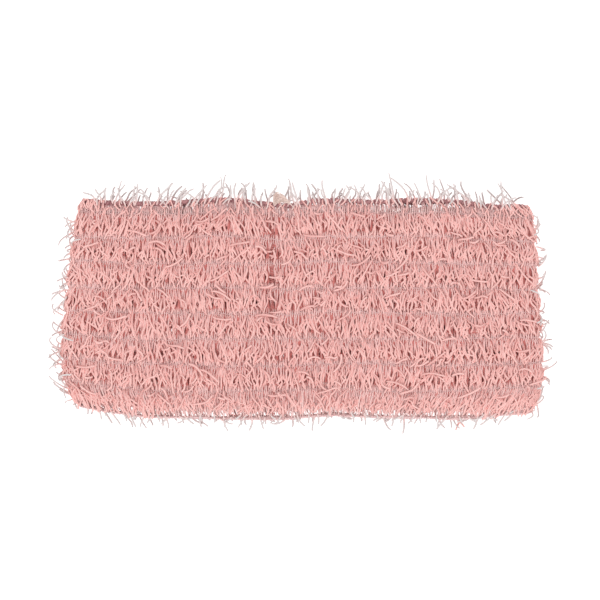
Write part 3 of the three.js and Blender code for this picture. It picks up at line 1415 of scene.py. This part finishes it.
@dataclass
class StitchedLine(BandPiece):
    """A line of stitches round the loop with threads laid along it: a chain line or a whipped hem."""

    course: str
    piece_name: str
    pitch: float
    stitches: StitchLoops
    finish: YarnFinish
    laid: LaidThreads | None = None
    rise: float = 0.0
    outside = 1.15 * MM
    seeds_per_metre = 1e5

    def build(self) -> bpy.types.Object:
        """Builds the line and hands it over.

        Returns:
            The line's piece.
        """
        height = self.shape.height_of(self.course) + self.rise
        count = round(self.shape.loop_length(height, self.outside) / self.pitch)
        sets: YarnSets = [(replace(self.stitches, count=count), self.finish)]
        if self.laid is not None:
            sets.append((self.laid, LINE_THREAD))
        sets = self.seeded(sets, Seed.LINE + round(abs(height) * self.seeds_per_metre), Seed.LAID_THREADS)
        return self.make(self.piece_name, (height, height - GUIDE_GAP), height, sets, self.finish.slot, self.course)


@dataclass
class LadderCourse(BandPiece):
    """The openwork course under the top hem: upright threads, windows between them and pile over most of it."""

    outside = 1.0 * MM
    windows = ((-65 * MM, -49 * MM), (34 * MM, 73 * MM))
    thread_pitch = 1.35 * MM
    rib_pitch = 0.75 * MM
    cover_pitch = 2.4 * MM
    window_pitch = 6 * cover_pitch
    lower_pitch = 5 * cover_pitch
    over_pitch = 3.2 * MM
    fold_cover = 9 * MM
    corner_cover = 4 * MM
    corner_pitch = 0.8 * MM

    def spread(self, yarns: RunningYarns, stretch: Pair, pitch: float) -> RunningYarns:
        """Spaces yarns over one stretch of the course.

        Args:
            yarns: The yarns.
            stretch: Where the stretch starts and ends, as shares of the way round.
            pitch: How far apart they are.

        Returns:
            The set for that stretch.
        """
        length = self.shape.loop_length(self.shape.height_of("top_hem"), self.outside)
        return replace(yarns, count=max(1, round((stretch[1] - stretch[0]) * length / pitch)), stretch=stretch)

    def build(self) -> bpy.types.Object:
        """Builds the course and hands it over.

        Returns:
            The course's piece.
        """
        shape, outside = self.shape, self.outside
        top, bottom = shape.height_of("top_hem"), shape.height_of("chain_line_1")
        length = shape.loop_length(top, outside)
        left, right = shape.upper_stretch(top, outside)
        lower = shape.lower_stretch(top, outside)
        folds = [shape.fold_stretch(top, outside, side) for side in Side]
        thread = RunningYarns(
            radius=(0.34, 0.46), steps=5, sides=5, start=(0.1, 0.16), end=(0.9, 1.0), slant=0.6, peak=(0.1, 0.5)
        )
        pile = RunningYarns(
            start=(0.0, 0.6), end=(0.9, 1.7), slant=3.5, bow=0.9, wave=0.4, root_lift=0.4, peak=(0.8, 2.2),
            free_share=0.6, clump=0.8, steps=6,
        )
        upright = self.spread(thread, (left, right), self.thread_pitch)
        threads = [upright, replace(upright, count=upright.count // 2, stretch=lower)]
        threads += [self.spread(replace(thread, peak=(0.1, 1.0)), fold, self.rib_pitch) for fold in folds]
        sets: YarnSets = [(made, LINE_THREAD) for made in threads]
        marks = [left, *(shape.share_at(x, top, outside) for pair in self.windows for x in pair), right]
        ribs = replace(thread, radius=(0.34, 0.4), peak=(0.1, 1.0))
        for number, stretch in enumerate(zip(marks, marks[1:])):
            in_window = number % 2 == 1
            sets.append((self.spread(pile, stretch, self.window_pitch if in_window else self.cover_pitch), PILE_YARN))
            if not in_window:
                sets.append((self.spread(ribs, stretch, self.rib_pitch), LINE_THREAD))
        sets.append((self.spread(pile, lower, self.lower_pitch), PILE_YARN))
        reach, near = self.fold_cover / length, self.corner_cover / length
        over = replace(pile, start=(-0.26, -0.12), end=(0.3, 0.9), root_lift=0.9, peak=(1.4, 2.2), radius=(0.3, 0.42))
        sets.append((self.spread(over, (left - reach, right + reach), self.over_pitch), PILE_YARN))
        corner = replace(pile, start=(-0.3, 0.1), end=(0.5, 1.2), root_lift=1.0, peak=(1.2, 2.4))
        for first, last in folds:
            sets.append((self.spread(corner, (first - near, last + near), self.corner_pitch), PILE_YARN))
        sets = self.seeded(sets, Seed.LADDER)
        return self.make("ladder_threads", (top, bottom), top, sets, CHAIN_THREAD.slot, "ladder_course")


@dataclass
class EdgeFringe(BandPiece):
    """The cut ends that stand out past one long edge of the band, on both layers."""

    upper_line: str
    lower_line: str
    piece_name: str
    front: LooseEnds
    back: LooseEnds
    seed: int

    def build(self) -> bpy.types.Object:
        """Builds the fringe and hands it over.

        Returns:
            The fringe's piece.
        """
        top, bottom = self.shape.height_of(self.upper_line), self.shape.height_of(self.lower_line)
        middle = (top + bottom) / 2
        front = replace(self.front, stretch=self.shape.upper_stretch(middle, self.outside))
        back = replace(self.back, stretch=self.shape.lower_stretch(middle, self.outside))
        sets = self.seeded([(front, FRINGE_YARN_PAINTED_BACKLIGHT), (back, FRINGE_YARN_PAINTED_BACKLIGHT)], self.seed)
        return self.make(self.piece_name, (top, bottom), middle, sets, FRINGE_YARN_PAINTED_BACKLIGHT.slot)


@dataclass
class CoveredElastic(BandPiece):
    """The covered elastic that lies inside a chain line or hem and ends at the seam."""

    node: str
    line: str
    outside = 0.7 * MM
    end_gap = 2.2 * MM
    step = 1.2 * MM

    def build(self) -> bpy.types.Object:
        """Builds the elastic as one long yarn along its line and hands it over.

        Returns:
            The elastic's piece.
        """
        height = self.shape.height_of(self.line)
        steps = round(self.shape.loop_length(height, self.outside) / self.step)
        sets = [(LaidThreads(radius=(0.4, 0.4), steps=steps, sides=6), COVERED_ELASTIC)]
        lines = (height, height - GUIDE_GAP)
        name, slot = f"{self.node}_thread", COVERED_ELASTIC.slot
        return self.make(name, lines, height, sets, slot, self.node, seam_gap=self.end_gap)


@dataclass
class GroundKnit:
    """The knitted cloth that carries the pile, open between its ribs in every row."""

    shape: BandShape
    outside: float = 1.3 * MM
    thickness: float = 0.5 * MM
    wales: int = 216
    slit_ends: Pair = (0.22, 0.84)
    last_slit_ends: Pair = (0.56, 1.0)
    slit_half_width: float = 0.1
    last_slit_half_width: float = 0.42
    rib_edges: Pair = (0.48, 0.52)

    def row_marks(self) -> list[Pair]:
        """Lists heights down the cloth with how far its slits are open there.

        Returns:
            The marks, from chain line 1 to the bottom hem.
        """
        lines = [self.shape.height_of(f"chain_line_{row}") for row in range(1, self.shape.rows + 1)]
        lines.append(self.shape.height_of("bottom_hem"))
        marks = [(lines[0], 0.0)]
        for top, bottom in zip(lines, lines[1:]):
            last = bottom == lines[-1]
            start, end = self.last_slit_ends if last else self.slit_ends
            width = self.last_slit_half_width if last else self.slit_half_width
            shares = [(start, 0.0), ((start + end) / 2, width), (end, width if last else 0.0)]
            for share, opened in shares if last else shares + [(1.0, 0.0)]:
                marks.append((top + (bottom - top) * share, opened))
        return marks

    def build(self) -> bpy.types.Object:
        """Builds the cloth, gives it its thickness and hands it over.

        Returns:
            The cloth's piece.
        """
        marks = self.row_marks()
        columns = 3 * self.wales
        points = np.empty((len(marks), columns, 3))
        for i, (height, opened) in enumerate(marks):
            line = self.shape.loop(height, self.outside)
            closed = np.vstack([line, line[:1]])
            run = np.concatenate([[0], np.cumsum(np.linalg.norm(np.diff(closed, axis=0), axis=1))])
            shift = np.tile([0.0, self.rib_edges[0] - opened, self.rib_edges[1] + opened], self.wales)
            at = (np.repeat(np.arange(self.wales), 3) + shift) / self.wales * run[-1]
            points[i] = np.stack([np.interp(at, run, closed[:, k]) for k in range(3)], axis=1)
        faces, spots = [], []
        down = [(height - marks[-1][0]) / (marks[0][0] - marks[-1][0]) for height, _ in marks]
        for i in range(len(marks) - 1):
            opened = marks[i][1] > 0 or marks[i + 1][1] > 0
            for j in range(columns):
                if opened and j % 3 == 1:
                    continue
                k = (j + 1) % columns
                faces.append((i * columns + j, (i + 1) * columns + j, (i + 1) * columns + k, i * columns + k))
                near, far = j / columns, (j + 1) / columns
                spots.extend([(near, down[i]), (near, down[i + 1]), (far, down[i + 1]), (far, down[i])])
        mesh = bpy.data.meshes.new("ground_knit_sheet")
        mesh.from_pydata(points.reshape(-1, 3).tolist(), [], faces)
        mesh.uv_layers.new(name=YARN_MAP).data.foreach_set("uv", np.array(spots, np.float32).ravel())
        mesh.materials.append(GROUND_KNIT_PAINTED_SHADE.material)
        mesh.polygons.foreach_set("use_smooth", [True] * len(faces))
        cloth = in_scene("ground_knit_sheet", mesh)
        solid = cloth.modifiers.new("thickness", "SOLIDIFY")
        solid.thickness = self.thickness
        solid.offset = 0.0
        return hand_over(settle(cloth, "ground_knit"), GROUND_KNIT_PAINTED_SHADE.slot)

    def flat_size(self) -> Pair:
        """Finds the size of the cloth as it was knitted, before its ends were joined.

        Returns:
            The width and the length.
        """
        marks = self.row_marks()
        lengths = [self.shape.loop_length(height, self.outside) for height, _ in marks]
        return marks[0][0] - marks[-1][0], sum(lengths) / len(lengths)


@dataclass
class JoiningSeam:
    """The overlocked seam on the upper layer and the tuft of thread ends at its top."""

    shape: BandShape
    ridge_outside: float = 1.3 * MM
    stitch_pitch: float = 1.1 * MM
    tail_root: Pair = (0.6 * MM, -0.4 * MM)
    tail_end: Pair = (10.2 * MM, -2.0 * MM)
    tail_bends: tuple[Pair, Pair] = ((6.5 * MM, 2.8 * MM), (-0.4 * MM, 12.8 * MM))
    tail_lift: float = 3.6 * MM
    tail_length: float = 12 * MM
    tail_width: float = 5 * MM
    seam_points: int = 60
    tail_points: int = 14

    def seam_line(self) -> np.ndarray:
        """Lays out the middle of the seam, from the top hem down to the bottom hem.

        Returns:
            The line's points.
        """
        top, bottom = self.shape.height_of("top_hem"), self.shape.height_of("bottom_hem")
        heights = np.linspace(top, bottom, self.seam_points)
        return np.array([self.shape.loop(height, self.ridge_outside)[0] for height in heights])

    def build_seam(self) -> bpy.types.Object:
        """Builds the seam's stitches.

        Returns:
            The seam's piece.
        """
        line = self.seam_line()
        length = float(np.linalg.norm(np.diff(line, axis=0), axis=1).sum())
        stitches = StitchLoops(
            count=round(length / self.stitch_pitch), radius=(0.18, 0.26), sides=5, height=2.0, depth=1.4, lean=0.6,
            across=(1.0, 0.0, 0.0), length=length, seed=int(Seed.SEAM),
        )
        sets, slot = [(stitches, SEAM_THREAD)], SEAM_THREAD.slot
        return make_piece("joining_seam_stitches", [line], sets, slot, "joining_seam", closed=False)

    def build_tail(self) -> bpy.types.Object:
        """Builds the tuft that leans over the top edge.

        Returns:
            The tuft's piece.
        """
        start = self.seam_line()[0]
        share = np.linspace(0, 1, self.tail_points)[:, None]
        root, end = np.array(self.tail_root), np.array(self.tail_end)
        arcs = []
        for bend in self.tail_bends:
            flat = root * (1 - share) ** 2 + 2 * np.array(bend) * share * (1 - share) + end * share**2
            arcs.append(np.hstack([start[:2] + flat, start[2] + self.tail_lift - share * MM]))
        threads = LaidThreads(
            count=60, radius=(0.08, 0.13), steps=12, sides=4, share=(0.0, 1.0), stray=0.25, stray_pitch=7.0,
            length=self.tail_length, gap=self.tail_width, seed=int(Seed.TAIL),
        )
        sets, slot = [(threads, TUFT_THREAD)], TUFT_THREAD.slot
        return make_piece("seam_tail_tuft", arcs, sets, slot, "seam_tail", closed=False)


@dataclass
class Headband:
    """The whole band, with its sub-assemblies built in order."""

    shape: BandShape = field(default_factory=BandShape)

    def chain_line(self, row: int) -> bpy.types.Object:
        """Builds one chain line.

        Args:
            row: The number of the row under the line.

        Returns:
            The line's piece.
        """
        stitches = StitchLoops(radius=(0.24, 0.3), height=4.8, depth=1.8, lean=0.4, unevenness=0.3)
        laid = LaidThreads(
            count=2, radius=(0.22, 0.28), steps=300, share=(0.0, 0.6), lift=0.8, stray=0.4, stray_pitch=5.3
        )
        course, name = f"chain_line_{row}", f"chain_{row}_stitches"
        return StitchedLine(self.shape, course, name, 1.0 * MM, stitches, CHAIN_THREAD, laid, rise=0.9 * MM).build()

    def hems(self) -> list[bpy.types.Object]:
        """Builds the two whipped hems.

        Returns:
            The top hem and the bottom one.
        """
        top = StitchLoops(radius=(0.32, 0.42), sides=5, height=1.6, depth=1.6, lean=1.2)
        bottom = replace(top, radius=(0.26, 0.34), height=0.8)
        return [
            StitchedLine(self.shape, "top_hem", "top_hem_whipping", 0.8 * MM, top, HEM_THREAD).build(),
            StitchedLine(self.shape, "bottom_hem", "bottom_hem_whipping", 0.7 * MM, bottom, LOWER_HEM_THREAD).build(),
        ]

    def fringes(self) -> list[bpy.types.Object]:
        """Builds the fringes along the two long edges.

        Returns:
            The top fringe and the bottom one.
        """
        top = LooseEnds(
            count=98, radius=(0.36, 0.46), root=(0.0, 0.5), heading=math.pi / 2, heading_spread=0.7,
            reach=(4.0, 13.5), root_lift=(0.6, 1.8), end_lift=(0.8, 3.0), curl=0.5, wave=0.9,
        )
        behind = replace(
            top, count=76, root=(0.0, 0.1), reach=(4.0, 11.5), root_lift=(0.3, 1.2), end_lift=(0.2, 1.6)
        )
        bottom = replace(
            top, count=64, radius=(0.38, 0.48), root=(0.8, 1.0), heading=-math.pi / 2, heading_spread=1.0,
            reach=(2.5, 7.5), end_lift=(0.8, 1.6), wave=0.4,
        )
        below = replace(bottom, count=58, root_lift=(0.3, 1.2), end_lift=(0.2, 1.6))
        last_line = f"chain_line_{self.shape.rows}"
        return [
            EdgeFringe(self.shape, "top_hem", "chain_line_1", "top_fringe", top, behind, Seed.TOP_FRINGE).build(),
            EdgeFringe(self.shape, last_line, "bottom_hem", "bottom_fringe", bottom, below, Seed.BOTTOM_FRINGE).build(),
        ]

    def elastics(self) -> list[bpy.types.Object]:
        """Builds the elastics of the hems and chain lines.

        Returns:
            The elastics' pieces.
        """
        pairs = [("top_hem_elastic", "top_hem"), ("bottom_hem_elastic", "bottom_hem")]
        pairs += [(f"chain_elastic_{row}", f"chain_line_{row}") for row in range(1, self.shape.rows + 1)]
        return [CoveredElastic(self.shape, node, line).build() for node, line in pairs]

    def build(self) -> None:
        knit = GroundKnit(self.shape)
        cloth = knit.build()
        rows = range(1, self.shape.rows + 1)
        pieces = [PileRow(self.shape, row).build() for row in rows]
        pieces += [self.chain_line(row) for row in rows]
        pieces += self.hems()
        pieces.append(LadderCourse(self.shape).build())
        pieces += self.fringes()
        pieces += self.elastics()
        seam = JoiningSeam(self.shape)
        pieces += [seam.build_seam(), seam.build_tail()]
        knit.flat_size()


@dataclass
class Studio:
    """The pale floor, soft light and camera round the band. A light has a name, a place, a power and a width."""

    view_width: float = 275.8 * MM
    lens: float = 100.0
    centre: Triple = (-0.7 * MM, 3.4 * MM, 10.0 * MM)
    floor_size: float = 6.0
    floor_drop: float = 0.2 * MM
    surround: float = 0.66
    lights: tuple[tuple[str, Triple, float, float], ...] = (
        ("key", (-0.3, -0.6, 1.0), 6.5, 0.9),
        ("fill", (0.35, 0.5, 1.0), 3.5, 0.9),
    )
    floor_shine = {
        "Base Color": (0.6, 0.6, 0.6, 1.0), "Roughness": 0.9, "Emission Color": WHITE, "Emission Strength": 0.8,
    }

    def floor(self) -> None:
        """Lays the pale floor."""
        mesh = bpy.data.meshes.new("floor")
        half = self.floor_size / 2
        corners = [(-half, -half), (half, -half), (half, half), (-half, half)]
        mesh.from_pydata([(x, y, -self.floor_drop) for x, y in corners], [], [(0, 1, 2, 3)])
        graph = ShaderGraph("floor_white")
        graph.set(**self.floor_shine)
        mesh.materials.append(graph.material)
        in_scene("floor", mesh)

    def light(self, name: str, place: Triple, power: float, width: float) -> None:
        """Hangs one soft square light that faces the band.

        Args:
            name: The light's name.
            place: Where it hangs.
            power: Its power in watts.
            width: The length of its side.
        """
        data = bpy.data.lights.new(name, "AREA")
        data.energy = power
        data.size = width
        lamp = in_scene(name, data)
        lamp.location = place
        lamp.rotation_euler = (-Vector(place)).to_track_quat("-Z", "Y").to_euler()

    def camera(self) -> None:
        """Sets the camera straight above the band."""
        data = bpy.data.cameras.new("camera")
        data.lens = self.lens
        eye = in_scene("camera", data)
        distance = self.view_width * self.lens / data.sensor_width
        eye.location = (self.centre[0], self.centre[1], self.centre[2] + distance)
        bpy.context.scene.camera = eye

    def build(self) -> None:
        """Sets up the floor, the lights, the surroundings and the camera."""
        self.floor()
        for name, place, power, width in self.lights:
            self.light(name, place, power, width)
        world = bpy.data.worlds.new("studio")
        world.use_nodes = True
        backdrop = world.node_tree.nodes["Background"]
        backdrop.inputs["Color"].default_value = WHITE
        backdrop.inputs["Strength"].default_value = self.surround
        bpy.context.scene.world = world
        bpy.context.scene.view_settings.view_transform = "Standard"
        self.camera()


def main() -> None:
    """Builds the studio and the band, and reports each piece."""
    logging.basicConfig(level=logging.INFO, format="%(message)s")
    Studio().build()
    Headband().build()


if __name__ == "__main__":
    main()
